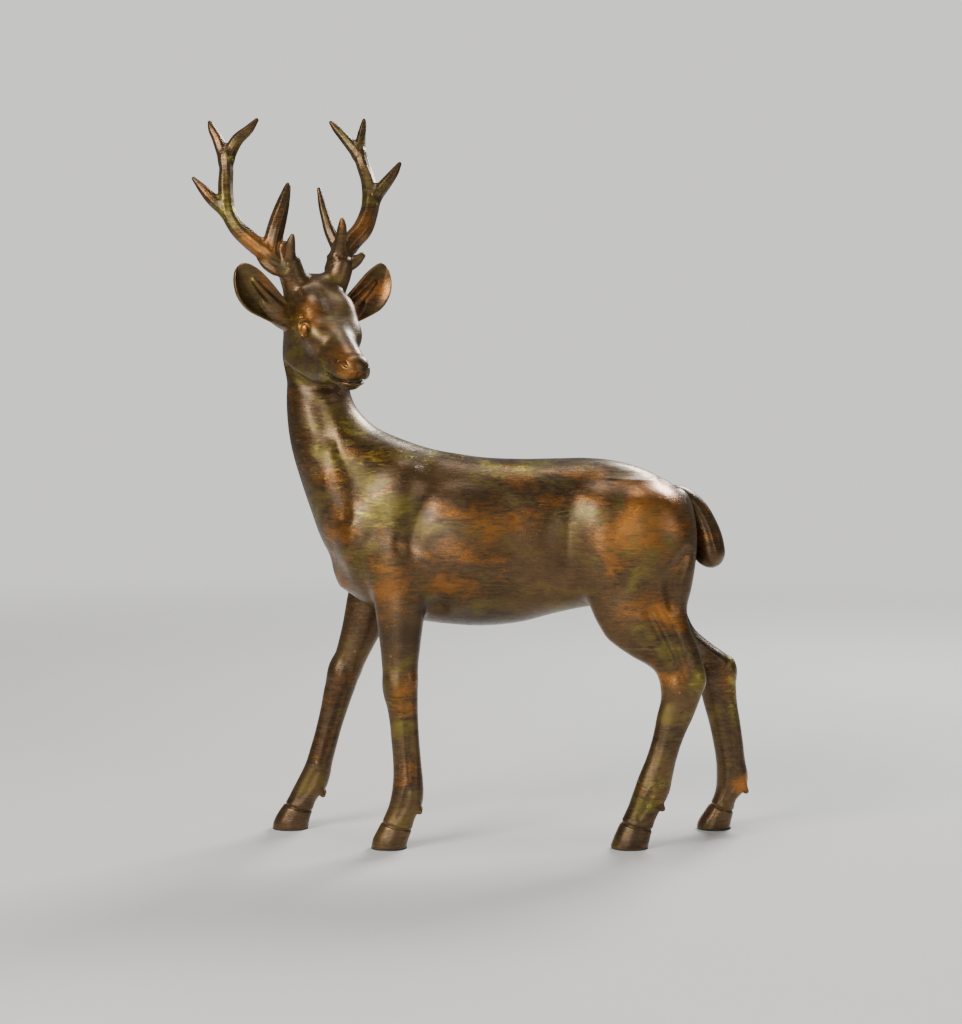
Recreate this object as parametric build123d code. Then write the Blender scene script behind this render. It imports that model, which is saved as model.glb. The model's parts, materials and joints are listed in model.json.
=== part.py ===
from build123d import *
import os
from math import cos, radians, sin, tau

# A standing stag, 500 mm to the antler tips, cast in bronze by the lost-wax way.
# The foundry casts it in sections: trunk, neck, head, ears, antlers, legs and tail. Sleeves and
# pins hold the sections together, and a plug closes the hole that the core was dug out of.
#
# Frame: millimetres, +Z up, Z = 0 on the shelf, the origin under the middle of the object's box.
# The sections below are given from a point near the barrel's middle, which MIDDLE moves to the origin.
# The body faces -X with its left side to -Y, and the head looks over towards -Y.

# ---- driving dimensions -------------------------------------------------------------------------
WALL = 4.0              # thickness of the hollow castings
PAD = 1.0               # felt pad under each hoof
FIT = 0.05              # radial clearance of every pin in its hole
HEAD_AT = (-113, -2, 373)    # point between the two pedicles, level with the top of the skull's side
HEAD_TURN = 27          # degrees that the face is turned from -Y towards +X
OUTLINE_POINTS = 12     # points on the outline of each cross-section
CUTTER = 700            # block that a casting is cut across with, larger than the whole object
MIDDLE = (-4.7, -2.8)   # middle of the whole object's box, in the sections' own frame

# ---- cross-sections -----------------------------------------------------------------------------
# Trunk, cut square to X: x, middle height, half height, half width.
TRUNK = [
    (-110, 210, 6, 6),
    (-106, 211, 15, 13),
    (-97, 212, 34, 23),
    (-82, 213, 50, 31),
    (-54, 214, 59, 36.5),
    (-18, 210, 59, 39.5),
    (16, 206.5, 57, 40),
    (50, 208.5, 54.5, 39),
    (80, 211, 52.5, 38),
    (104, 210, 49.5, 37),
    (124, 208, 42.5, 33),
    (138, 206, 32.5, 25),
    (147, 203, 15, 13),
]
# Neck, from inside the skull down into the trunk: x, y, z, tilt in degrees, half length, half width.
HEAD_JOINT_ROW = (-111, 3, 300, 0, 22.3, 19.5)    # the head casting is above this one
NECK_JOINT_ROW = (-83, 0, 258.5, 23, 40.3, 30)    # the trunk casting is below this one
NECK = [
    (-111, 2, 348, 0, 15, 14),
    (-111.5, 3, 332, 0, 20, 17.5),
    (-111.7, 3, 316, 0, 21.3, 18.6),
    HEAD_JOINT_ROW,
    (-106, 2, 286, 9, 26, 22),
    (-96, 1, 272, 17, 32.5, 26.5),
    NECK_JOINT_ROW,
    (-74, 0, 249, 25, 46.5, 32.5),
    (-60, 0, 240, 26, 56, 35),
]
# Legs, cut level: z, x, distance out from the body's middle plane, half length along X, half width
# along Y. Above its joint a leg belongs to the trunk casting.
FORELEG_JOINT = 136
HINDLEG_JOINT = 134
FORELEG_LEFT = [
    (218, -58, 16, 24, 10), (200, -56, 22, 26, 13), (180, -54, 26, 22.5, 13), (163, -54, 27.5, 17.6, 12.6),
    (150, -54.2, 28, 15.6, 12), (FORELEG_JOINT, -54.2, 28.5, 13.8, 11), (121, -54.2, 29, 12.2, 10),
    (107, -53.7, 29.5, 11.7, 10), (94, -52.5, 30, 10.4, 8.6), (76, -51.2, 30.5, 9.4, 7.6),
    (60, -49.7, 31, 9.5, 7.8), (46, -48.9, 31.5, 10.1, 8.6), (33, -49.5, 32, 11.2, 9.4),
    (22, -53.5, 32, 10.8, 9.4), (12, -58, 32, 11.8, 10.2), (PAD, -61.6, 32, 12, 10.4),
]
FORELEG_RIGHT = [
    (218, -60, 16, 23, 10), (200, -62, 22, 25, 13), (180, -69, 26, 20, 13), (163, -77, 27.5, 16.6, 12.6),
    (150, -80, 28, 15.2, 12), (FORELEG_JOINT, -84, 28.5, 14, 11), (120, -90.6, 29, 12, 10.2),
    (104, -96.6, 30, 11.2, 9.4), (84, -102.3, 30.5, 9.5, 7.8), (66, -107.2, 31, 9.1, 7.8),
    (50, -111.8, 31.5, 9.4, 8.2), (36, -116.3, 31.8, 10.7, 9), (27, -120, 32, 11.6, 9.4),
    (19, -125.6, 32, 11, 9.4), (11, -130, 32, 12, 10.3), (PAD, -133, 32, 12.3, 10.4),
]
HINDLEG_LEFT = [
    (240, 102, 14, 20, 9), (222, 104, 20, 33, 15), (200, 106, 24, 39.5, 16.5), (178, 106, 26.3, 37, 15.8),
    (162, 105.5, 27.6, 32, 14.9), (148, 110, 28.2, 29.8, 14), (HINDLEG_JOINT, 119, 28.8, 26.5, 12.8),
    (122, 131, 29, 18.4, 11.4), (111, 135, 29.5, 15, 10.4), (98, 133.4, 30, 13.2, 9.4),
    (82, 128, 30.5, 11.5, 8.2), (66, 122.9, 31, 10.2, 7.8), (51, 118.2, 31.5, 10.9, 8.4),
    (37, 114.1, 32, 12.3, 9.3), (26, 109.6, 32, 11.6, 9.4), (16, 104.4, 32, 11.4, 9.8),
    (7, 101.2, 32, 12.3, 10.5), (PAD, 99.6, 32, 12.3, 10.4),
]
HINDLEG_RIGHT = [
    (240, 102, 14, 20, 9), (222, 104, 20, 32, 15), (200, 107, 24, 39, 16.5), (178, 109, 26.3, 35, 15.8),
    (162, 113, 27.6, 29, 14.9), (148, 121.5, 28.2, 24, 14), (HINDLEG_JOINT, 137, 28.8, 20.5, 12.6),
    (122, 155, 29, 17, 11.4), (111, 162.6, 29.5, 15, 10.6), (97, 165.3, 30, 12.7, 9.6),
    (80, 168.7, 30.5, 11.2, 8.2), (64, 171.8, 31, 10.5, 7.8), (50, 173.8, 31.5, 10.2, 8.2),
    (37, 175.4, 32, 11, 9), (27, 174.6, 32, 11, 9.4), (18, 168.8, 32, 9.6, 9.4), (9, 165, 32, 11, 10.3),
    (PAD, 162.6, 32, 11.8, 10.4),
]
LEGS = {    # side, -1 for the left and +1 for the right, joint height, sections
    "foreleg_left": (-1, FORELEG_JOINT, FORELEG_LEFT),
    "foreleg_right": (1, FORELEG_JOINT, FORELEG_RIGHT),
    "hindleg_left": (-1, HINDLEG_JOINT, HINDLEG_LEFT),
    "hindleg_right": (1, HINDLEG_JOINT, HINDLEG_RIGHT),
}
# Tail, hanging from the croup: x, z, tilt in degrees, half length, half width.
TAIL = [
    (134, 239, 50, 5, 7),
    (142, 231, 46, 7, 9),
    (150, 220, 38, 7, 10),
    (156, 207, 25, 6.5, 10),
    (159.5, 195, 14, 5.5, 8),
    (160.5, 187, 5, 3, 4.5),
]
# Head, in its own frame: forward is -Y, its left is +X, cut square to Y.
# Forward distance from the pedicles, middle height, half height, half width.
SKULL = [
    (-22, -14, 13, 10),
    (-13, -15, 26, 18),
    (3, -21, 36, 21),
    (19, -28, 35, 21),
    (33, -35, 27.5, 17.5),
    (46, -41.5, 20.5, 13.5),
    (58, -46, 17.5, 11.8),
    (65, -47.5, 13.5, 10.5),
    (68.5, -48, 5, 5),
]
FOOT = (18.2, 1, 16, 7)        # x, y, z, radius half way up the pedicle
BURR = (21.6, 0.5, 25, 8)      # where the antler sits on it
PEDICLE = [(15, 2, 6, 8), FOOT, (*BURR[:3], 7.2)]
# Antler, in the head's frame for the head's left side: x, y (back is +Y), z, radius.
ANTLER = {
    "beam": [
        (20, 0.8, 21, 7.8), BURR, (26, 4, 31, 8), (38, 8.5, 39, 7.4), (50, 13.5, 53, 6.6),
        (56, 17.5, 68, 6.2), (54.5, 23.5, 84, 5.2), (51.5, 30, 101, 5.4), (53.5, 34, 111, 4),
        (59.5, 38.5, 124.5, 1.2),
    ],
    "crown": [(51.5, 30, 98, 4.6), (47, 30.5, 108, 4.4), (38, 30, 118, 3.2), (28.7, 29.5, 124.5, 1.2)],
    "trez": [(54, 17, 64, 5.2), (64, 20, 76, 4.2), (72, 22.5, 84, 3.2), (80, 24.5, 91, 1.2)],
    "bez": [(31, 6.5, 36, 5.6), (25, 12, 48, 5.4), (17, 14.5, 64, 4), (12, 15, 79.5, 1.2)],
    "brow": [(21, 0, 26, 6.2), (20, -3, 36, 4.4), (19.6, -6, 44, 3), (19.6, -7.6, 51, 1.2)],
    "spur": [(23, 0, 27, 5), (32, 1, 27.5, 3.8), (40, 1, 31.5, 1.6)],
}
# Ear, in the head's frame for the head's left side: x, y, z, half width of the leaf, half thickness.
EAR = [
    (16, 5, -19, 6.5, 5.5), (25, 4, -14, 9, 7.5), (33.5, 3, -8.5, 11.8, 7.5), (42, 2, -2, 12.8, 7),
    (49, 1, 6, 11.2, 5.5), (53, 0, 13, 7, 4), (54.5, 0, 18.5, 2.4, 1.6),
]
EAR_HOLLOW = [
    (27, -4, -12.5, 5.2, 3.6), (34.5, -4.8, -7.6, 8.8, 5.6), (42, -5.6, -1.6, 9.8, 5.6),
    (48.5, -5.6, 6, 7.8, 4.6), (52, -5, 12, 4, 2.8),
]

# ---- fasteners and joints -----------------------------------------------------------------------
NECK_SLEEVE = (20, 17, 16, 13, 16)       # half length and half width outside, the same inside, height
HEAD_SLEEVE = (12.5, 9, 22)              # outside radius, inside radius, height
SLEEVE_PIN = (1.5, 8)                    # radius, length
NECK_PIN_AT = (9, 5)                     # fore and aft of the joint's middle, and above and below it
HEAD_PIN_AT = 6                          # above and below the head joint
ANTLER_PIN = (2.5, 16)
EAR_PIN = (1.5, 12)
TAIL_PIN = (2, 16)
LEG_DOWEL = (4, 26)
BELLY_PLUG = (20, 9)                     # x of the core hole, radius


def outline(centre, across, up, half_across, half_up):
    """Closed smooth face through the points of an ellipse that lies along two directions."""
    points = []
    for i in range(OUTLINE_POINTS):
        angle = tau * i / OUTLINE_POINTS
        points.append(centre + across * (half_across * cos(angle)) + up * (half_up * sin(angle)))
    return make_face(Spline(points, periodic=True))


def level_tube(stations, side):
    """Solid through level sections, as a leg is, on side -1, the left, or +1."""
    faces = [
        outline(Vector(x, side * out, z), Vector(1, 0, 0), Vector(0, 1, 0), half_length, half_width)
        for z, x, out, half_length, half_width in stations
    ]
    return loft(faces)


def tilted_face(x, y, z, tilt, half_length, half_width):
    """One section of the neck or tail, tipped about Y by tilt degrees."""
    along = Vector(cos(radians(tilt)), 0, sin(radians(tilt)))
    return outline(Vector(x, y, z), along, Vector(0, 1, 0), half_length, half_width)


def round_tube(stations):
    """Tapering round solid through x, y, z, radius stations, each square to the path."""
    centres = [Vector(*s[:3]) for s in stations]
    faces = []
    for i, (centre, station) in enumerate(zip(centres, stations)):
        ahead = centres[min(i + 1, len(centres) - 1)]
        behind = centres[max(i - 1, 0)]
        along = (ahead - behind).normalized()
        across = along.cross(Vector(0, 1, 0)).normalized()
        faces.append(outline(centre, across, along.cross(across), station[3], station[3]))
    return loft(faces)


def mirrored(stations, side):
    """Head-frame stations for side +1, its left, or -1, its right."""
    return [(side * s[0], *s[1:]) for s in stations]


def head_place(shape):
    """Moves a shape from the head's own frame to the statuette's."""
    return Location(HEAD_AT) * Rotation(0, 0, HEAD_TURN) * shape


def rod(base, along, radius, length):
    """Round pin from base in a direction."""
    on_base = (Align.CENTER, Align.CENTER, Align.MIN)
    return Plane(origin=base, z_dir=along) * Cylinder(radius, length, align=on_base)


def above(shape, plane):
    """The part of a shape on the side of a plane that its normal points to."""
    return shape - plane * Pos(0, 0, -CUTTER / 2) * Box(CUTTER, CUTTER, CUTTER)


def below(shape, plane):
    return shape - plane * Pos(0, 0, CUTTER / 2) * Box(CUTTER, CUTTER, CUTTER)


def joint_plane(x, y, z, tilt, half_length, half_width):
    """Plane of one neck section, facing up the neck."""
    along = Vector(cos(radians(tilt)), 0, sin(radians(tilt)))
    return Plane(origin=(x, y, z), x_dir=along, z_dir=along.cross(Vector(0, 1, 0)))


NECK_JOINT = joint_plane(*NECK_JOINT_ROW)
HEAD_JOINT = joint_plane(*HEAD_JOINT_ROW)


# ---- sleeves and pins ---------------------------------------------------------------------------
def oval_prism(plane, half_length, half_width, height, low):
    """Straight oval block on a joint plane, from low to low + height along its normal."""
    face = outline(Vector(0, 0, low), Vector(1, 0, 0), Vector(0, 1, 0), half_length, half_width)
    return plane * extrude(face, amount=height, dir=(0, 0, 1))


def neck_sleeve(grow=0.0):
    half_length, half_width, inner_length, inner_width, height = NECK_SLEEVE
    low = -height / 2 - grow
    solid = oval_prism(NECK_JOINT, half_length + grow, half_width + grow, height + 2 * grow, low)
    if grow:
        return solid
    return solid - oval_prism(NECK_JOINT, inner_length, inner_width, height + 2, -height / 2 - 1)


def head_sleeve(grow=0.0):
    outer, inner, height = HEAD_SLEEVE
    solid = HEAD_JOINT * Cylinder(outer + grow, height + 2 * grow)
    if grow:
        return solid
    return solid - HEAD_JOINT * Cylinder(inner, height + 2)


def neck_pins(grow=0.0):
    """Eight cross pins, four from each side, in pairs above and below the neck joint."""
    radius, length = SLEEVE_PIN
    base = NECK_SLEEVE[1] - 5
    pins = []
    for high in (-NECK_PIN_AT[1], NECK_PIN_AT[1]):
        for along in (-NECK_PIN_AT[0], NECK_PIN_AT[0]):
            for direction in (1, -1):
                start = NECK_JOINT.from_local_coords((along, direction * base, high))
                pins.append(rod(start, Vector(0, direction, 0), radius + grow, length + grow))
    return pins


def head_pins(grow=0.0):
    """Four cross pins, two below the head joint and two above it."""
    radius, length = SLEEVE_PIN
    reach = HEAD_SLEEVE[0] - 3
    x, y, z = HEAD_JOINT_ROW[:3]
    pins = []
    for high in (-HEAD_PIN_AT, HEAD_PIN_AT):
        for direction in (1, -1):
            start = (x, y + direction * reach, z + high)
            pins.append(rod(start, (0, direction, 0), radius + grow, length - 1 + grow))
    return pins


def leg_dowel(name, grow=0.0):
    """Dowel across a leg's joint, along the leg's own slope."""
    side, joint, stations = LEGS[name]
    radius, length = LEG_DOWEL
    at = [station[0] for station in stations].index(joint)
    over, middle, under = [Vector(x, side * out, z) for z, x, out, _, _ in stations[at - 1:at + 2]]
    along = (over - under).normalized()
    return rod(middle - along * (length / 2 + grow), along, radius + grow, length + 2 * grow)


def antler_seat(side):
    """Middle of an antler's seat on its pedicle, and the direction it faces."""
    foot, top = [Vector(*station[:3]) for station in mirrored([FOOT, BURR], side)]
    return top, (top - foot).normalized()


def antler_pin(side, grow=0.0):
    radius, length = ANTLER_PIN
    top, along = antler_seat(side)
    return head_place(rod(top - along * (length / 2 + grow), along, radius + grow, length + 2 * grow))


def ear_pin(side, grow=0.0):
    radius, length = EAR_PIN
    base, mid = [Vector(*station[:3]) for station in mirrored(EAR[:2], side)]
    along = (mid - base).normalized()
    return head_place(rod(base + along * (5 - length / 2 - grow), along, radius + grow, length + 2 * grow))


def tail_pin(grow=0.0):
    radius, length = TAIL_PIN
    return rod((138 - grow, 0, 230 + 0.6 * grow), (0.8, 0, -0.6), radius + grow, length + 2 * grow)


# ---- the castings -------------------------------------------------------------------------------
def neck_solid():
    """The whole neck, from inside the skull to deep in the trunk."""
    return loft([tilted_face(*section) for section in NECK])


def trunk_solid():
    """Barrel with the neck's root and the four leg roots grown into it."""
    faces = [
        outline(Vector(x, 0, z), Vector(0, 1, 0), Vector(0, 0, 1), half_width, half_height)
        for x, z, half_height, half_width in TRUNK
    ]
    solid = loft(faces)
    solid += below(neck_solid(), NECK_JOINT)
    for side, joint, stations in LEGS.values():
        solid += above(level_tube(stations, side), Plane.XY.offset(joint))
    return solid


def trunk_core():
    """Hollow of the trunk, with the throat that runs up into the neck joint."""
    faces = [
        outline(Vector(x, 0, z), Vector(0, 1, 0), Vector(0, 0, 1), half_width - WALL, half_height - WALL)
        for x, z, half_height, half_width in TRUNK[1:-1]
    ]
    throat = oval_prism(NECK_JOINT, NECK_SLEEVE[2], NECK_SLEEVE[3], 46, -46)
    return loft(faces) + throat


def neck_core():
    """Hollow of the neck, from one sleeve to the other."""
    low = NECK_JOINT * outline(Vector(0, 0, 5), Vector(1, 0, 0), Vector(0, 1, 0), *NECK_SLEEVE[2:4])
    middle = tilted_face(-99, 1.5, 275, 13, 16, 12.5)
    bore_radius = HEAD_SLEEVE[1]
    top = HEAD_JOINT * outline(Vector(0, 0, -10), Vector(1, 0, 0), Vector(0, 1, 0), bore_radius, bore_radius)
    bore = HEAD_JOINT * Pos(0, 0, -4) * Cylinder(bore_radius, 14)
    return loft([low, middle, top]) + oval_prism(NECK_JOINT, *NECK_SLEEVE[2:4], 7, -1) + bore


def skull_solid():
    """Skull and muzzle, in the head's frame, with the two pedicles."""
    faces = [
        outline(Vector(0, -ahead, z), Vector(1, 0, 0), Vector(0, 0, 1), half_width, half_height)
        for ahead, z, half_height, half_width in SKULL
    ]
    solid = loft(faces)
    for side in (1, -1):
        solid += round_tube(mirrored(PEDICLE, side))
    return solid


def antler(side):
    solid = None
    for stations in ANTLER.values():
        tine = round_tube(mirrored(stations, side))
        solid = tine if solid is None else solid + tine
    top, along = antler_seat(side)
    return above(solid, Plane(origin=top, z_dir=along))


def ear_leaf(stations, side):
    """Flat leaf through stations that run out along the ear."""
    centres = [Vector(side * s[0], s[1], s[2]) for s in stations]
    faces = []
    for i, (centre, station) in enumerate(zip(centres, stations)):
        along = (centres[min(i + 1, len(centres) - 1)] - centres[max(i - 1, 0)]).normalized()
        across = along.cross(Vector(0, 1, 0)).normalized()
        faces.append(outline(centre, across, along.cross(across), station[3], station[4]))
    return loft(faces)


def one_solid(shape):
    """The largest solid of a cut shape, so that no sliver stays with it."""
    return max(shape.solids(), key=lambda s: s.volume)


def build():
    parts = {}
    trunk = trunk_solid()
    core = trunk_core()
    plug_x, plug_radius = BELLY_PLUG
    belly_bore = Pos(plug_x, 0, 150) * Cylinder(plug_radius, 40)
    shell = trunk - core
    parts["belly_plug"] = one_solid(shell & (Pos(plug_x, 0, 150) * Cylinder(plug_radius - FIT, 40)))
    shell -= belly_bore
    shell -= neck_sleeve(FIT)
    for pin in neck_pins(FIT):
        shell -= pin
    for name in LEGS:
        shell -= leg_dowel(name, FIT)

    whole_neck = neck_solid()
    neck = above(below(whole_neck, HEAD_JOINT), NECK_JOINT)
    shell -= neck
    neck_shell = neck - neck_core() - neck_sleeve(FIT) - head_sleeve(FIT)
    for pin in neck_pins(FIT) + head_pins(FIT):
        neck_shell -= pin
    parts["neck"] = one_solid(neck_shell)

    head = head_place(skull_solid())
    head = head + above(whole_neck, HEAD_JOINT) - neck - head_sleeve(FIT)
    for pin in head_pins(FIT):
        head -= pin
    for side, label in ((1, "left"), (-1, "right")):
        horn = head_place(antler(side)) - antler_pin(side, FIT)
        ear = head_place(ear_leaf(EAR, side) - ear_leaf(EAR_HOLLOW, side)) - head - ear_pin(side, FIT)
        head -= antler_pin(side, FIT)
        head -= ear_pin(side, FIT)
        parts[f"antler_{label}"] = one_solid(horn)
        parts[f"ear_{label}"] = one_solid(ear)
        parts[f"antler_pin_{label}"] = antler_pin(side)
        parts[f"ear_pin_{label}"] = ear_pin(side)
    parts["head"] = one_solid(head)

    tail = loft([tilted_face(x, 0, z, tilt, a, b) for x, z, tilt, a, b in TAIL])
    parts["tail"] = one_solid(tail - trunk - tail_pin(FIT))
    parts["tail_pin"] = tail_pin()
    parts["torso"] = one_solid(shell - tail_pin(FIT))

    for name, (side, joint, stations) in LEGS.items():
        leg = below(level_tube(stations, side), Plane.XY.offset(joint))
        parts[name] = one_solid(leg - leg_dowel(name, FIT))
        parts[f"{name}_dowel"] = leg_dowel(name)
        _, x, out, half_length, half_width = stations[-1]
        sole = outline(Vector(x, side * out, 0), Vector(1, 0, 0), Vector(0, 1, 0), half_length, half_width)
        parts[f"{name}_pad"] = extrude(sole, amount=PAD, dir=(0, 0, 1))

    parts["neck_sleeve"] = neck_sleeve()
    parts["head_sleeve"] = head_sleeve()
    parts["neck_sleeve_pins"] = neck_pins()
    parts["head_sleeve_pins"] = head_pins()
    for pin in neck_pins(FIT):
        parts["neck_sleeve"] -= pin
    for pin in head_pins(FIT):
        parts["head_sleeve"] -= pin
    return parts


os.makedirs("parts", exist_ok=True)
for node, shape in build().items():
    pieces = shape if isinstance(shape, list) else [shape]
    placed = [Pos(-MIDDLE[0], -MIDDLE[1], 0) * piece.solids()[0] for piece in pieces]
    export_step(Compound(children=placed), f"parts/{node}.step")
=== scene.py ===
import json
from itertools import product
from math import cos, radians, sin, tau

import bmesh
import bpy
import numpy as np
import openvdb
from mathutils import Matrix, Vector
from mathutils.kdtree import KDTree


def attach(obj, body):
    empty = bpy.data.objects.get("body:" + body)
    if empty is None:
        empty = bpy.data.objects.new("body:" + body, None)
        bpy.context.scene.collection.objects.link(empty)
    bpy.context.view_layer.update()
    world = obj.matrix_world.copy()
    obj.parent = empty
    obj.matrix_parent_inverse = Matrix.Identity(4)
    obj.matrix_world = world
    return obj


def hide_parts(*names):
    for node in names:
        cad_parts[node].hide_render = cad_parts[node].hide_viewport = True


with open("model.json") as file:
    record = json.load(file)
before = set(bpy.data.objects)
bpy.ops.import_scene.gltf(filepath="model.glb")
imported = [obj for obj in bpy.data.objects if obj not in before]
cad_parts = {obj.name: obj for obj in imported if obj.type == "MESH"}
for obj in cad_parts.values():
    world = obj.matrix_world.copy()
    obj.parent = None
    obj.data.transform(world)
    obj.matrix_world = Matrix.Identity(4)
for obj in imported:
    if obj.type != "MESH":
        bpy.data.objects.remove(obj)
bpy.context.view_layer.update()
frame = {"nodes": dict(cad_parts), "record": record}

# A standing bronze stag, sculpted with distance fields and meshed in the foundry's sections.
# The fields are in millimetres. The body faces -X, its left side is at -Y, and ORIGIN moves it to the
# row frame. Trunk, neck and legs are cut from one field, so they meet in hairline seams.

# ---- driving dimensions
ORIGIN = (4.7, 2.8, 0)  # what the CAD's MIDDLE adds to every point
PAD = 1.0  # felt under each hoof
FORELEG_JOINT = 136  # heights at which the leg castings meet the trunk
HINDLEG_JOINT = 134
LEGS_PART = 20  # x that parts the forelegs' cuts from the hindlegs'
HEAD_JOINT = 300  # height at which the head casting meets the neck
NECK_JOINT_AT = (-83, 0, 258.5)
NECK_JOINT_TILT = radians(23)
HEAD_AT = (-113, -2, 373)  # between the pedicles
HEAD_TURN = radians(27)  # from -Y towards +X
HEAD_PITCH = radians(35)  # muzzle down
COARSE = 1.0
FAR = 20.0  # distance given to places that no shape comes near
TUBE_SHARE = 0.85  # scale of a tube's distances, which come out too long where it slants
SKULL_SHARE = 0.95  # the same for the skull
TRUNK_TAPER = 0.1  # how much narrower the trunk is at its top than half way up
UP = (0, 0, 1)
DOWN = (0, 0, -1)

# Trunk, cut square to X: x, top, bottom, half width.
TRUNK = [
    (-102, 216, 205, 4), (-100, 226, 197, 13), (-96.6, 240, 186, 21.5), (-91, 251, 175, 28),
    (-82, 260, 163, 32), (-62, 265, 154.5, 36), (-40, 266.5, 149, 38), (-20, 263.5, 146.6, 39.5),
    (0, 260.6, 145.6, 40.5), (26, 259.4, 148, 40.5), (54, 259.8, 155, 38.5), (72, 260, 158.5, 37),
    (94, 257.6, 160, 36.5), (109, 253.2, 161, 35.5), (122, 247.2, 163, 33), (133, 240, 167, 28.5),
    (140, 230, 173, 23), (145, 219, 182, 16), (148, 207, 196, 6),
]
# Neck, cut level: z, front x, back x, y of the middle, half width.
NECK = [
    (345, -126, -96, 3, 14), (332, -130, -92, 4, 17), (316, -132.4, -90.4, 3.6, 18.4),
    (302, -133.2, -88.8, 3, 19.8), (290, -132.8, -82, 2, 21.5), (279, -131.7, -68.5, 1, 24.2),
    (270, -130.2, -48, 0.5, 27.3), (260, -127.8, -32, 0, 30.4), (248, -124.2, -29, 0, 32.4),
    (236, -120.3, -34, 0, 33), (222, -115.4, -44, 0, 32.5), (208, -110.4, -58, 0, 28),
    (197, -105, -64, 0, 21), (188, -98.6, -70, 0, 14), (178, -90, -74, 0, 7),
]
# Legs, cut level down to the sole: z, front x, back x, distance out from the middle plane, half width.
FORELEG_LEFT = [
    (226, -78, -44, 17, 12), (205, -80, -36, 23, 13.5), (185, -76.5, -33.5, 26, 13.6),
    (172, -73.5, -34.5, 27, 13.2), (160, -71.2, -37.1, 27.6, 12.6), (148, -69.6, -39, 28, 11.9),
    (136, -67.9, -40.5, 28.5, 11.1), (122, -66.5, -42, 29, 10.2), (110, -65.6, -42.2, 29.5, 10),
    (99, -64, -42.3, 29.8, 9), (86, -61.6, -42.1, 30.3, 7.7), (72, -60.2, -41.3, 30.7, 7.2),
    (57, -59, -40, 31, 7.6), (45, -59, -38.8, 31.5, 8.3), (36, -60.1, -38.5, 32, 8.8),
    (28, -62, -39.8, 32, 8.7), (20, -65.4, -44.1, 32, 8.7), (12, -69.7, -46.2, 32, 9.6),
    (5, -73, -48.8, 32, 10.4), (PAD, -73.6, -49.8, 32, 10.5),
]
FORELEG_RIGHT = [
    (226, -80, -46, 17, 12), (205, -83, -42, 23, 13.5), (185, -88, -48, 26, 13.4),
    (172, -91, -54, 27, 13), (160, -93.5, -60, 27.6, 12.4), (148, -95.5, -65.2, 28, 11.7),
    (136, -98, -70.2, 28.5, 10.9), (122, -101.8, -77.6, 29, 10.2), (110, -105.9, -83.3, 29.5, 9.8),
    (98, -109.3, -87.7, 29.8, 9), (85, -111.7, -92.4, 30.3, 7.7), (71, -114.9, -97, 30.7, 7.2),
    (57, -118.8, -100.8, 31, 7.6), (45, -122.7, -103.8, 31.5, 8.3), (36, -127, -105.5, 32, 8.8),
    (28, -131.2, -108.4, 32, 8.7), (20, -135.4, -114.8, 32, 8.7), (12, -141.2, -117.6, 32, 9.6),
    (5, -144.9, -119.7, 32, 10.4), (PAD, -145.6, -120.4, 32, 10.5),
]
THIGH = [(246, 78, 118, 12, 12), (236, 71, 131, 18, 17), (222, 67, 139, 22, 18.5)]
HINDLEG_LEFT = THIGH + [
    (205, 65.5, 144, 24, 18.5), (188, 66.5, 144, 25.4, 17.6), (173, 70, 141.5, 26.4, 16.4),
    (160, 73.8, 138.5, 27.4, 15.2),
    (148, 79.5, 140.2, 28.2, 14), (139, 85.8, 143.8, 28.6, 13.2), (129, 99.5, 147.4, 28.9, 12.2),
    (120, 114.6, 149.8, 29.2, 11), (111, 119.8, 150.2, 29.6, 10.2), (101, 120.8, 147.4, 30, 9.2),
    (88, 118, 142.4, 30.3, 8.2), (74, 115.1, 136, 30.7, 7.6), (60, 110.8, 131.3, 31, 7.8),
    (47, 105.4, 128.3, 31.5, 8.5), (37, 101.8, 126, 32, 9), (28, 98.6, 121.6, 32, 8.8),
    (20, 94.9, 117.2, 32, 8.7), (12, 91, 114.7, 32, 9.6), (5, 88, 112.9, 32, 10.4),
    (PAD, 86.6, 111.9, 32, 10.5),
]
HINDLEG_RIGHT = THIGH + [
    (205, 66, 144, 24, 18.5), (188, 68, 144, 25.4, 17.6), (173, 74, 142.5, 26.4, 16.4),
    (160, 82, 142, 27.4, 15.2),
    (148, 94, 144.5, 28.2, 14), (139, 107, 149.5, 28.6, 13), (129, 126, 161, 28.9, 12),
    (120, 141, 173.2, 29.2, 11), (111, 147.9, 177.8, 29.6, 10.4), (100, 151.9, 177.9, 30, 9.2),
    (88, 155.1, 178.7, 30.3, 8.2), (74, 159, 180.9, 30.7, 7.6), (60, 162, 182.9, 31, 7.8),
    (47, 164, 184.4, 31.5, 8.3), (37, 164.4, 186.3, 32, 9), (28, 163.9, 184.8, 32, 8.7),
    (20, 161.4, 178.1, 32, 8.7), (12, 156.2, 176.2, 32, 9.6), (5, 151.7, 174.6, 32, 10.4),
    (PAD, 150.4, 173.6, 32, 10.5),
]
# Each leg: side, sections, joint height, x and z of the dewclaws.
LEGS = {
    "foreleg_left": (-1, FORELEG_LEFT, FORELEG_JOINT, (-41.6, 27.6)),
    "foreleg_right": (1, FORELEG_RIGHT, FORELEG_JOINT, (-110.6, 26.6)),
    "hindleg_left": (-1, HINDLEG_LEFT, HINDLEG_JOINT, (120.6, 29.6)),
    "hindleg_right": (1, HINDLEG_RIGHT, HINDLEG_JOINT, (184, 29.2)),
}
FOOT_OUT = 32  # distance of each hoof's middle from the middle plane
HOOF_TOP = 15.2  # height of the groove round the top of the hoof
HOOF_SLOPE = 2.5  # how much higher that groove is in front
HOOF_LEAN = 25  # degrees that the front of the hoof leans back
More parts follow.
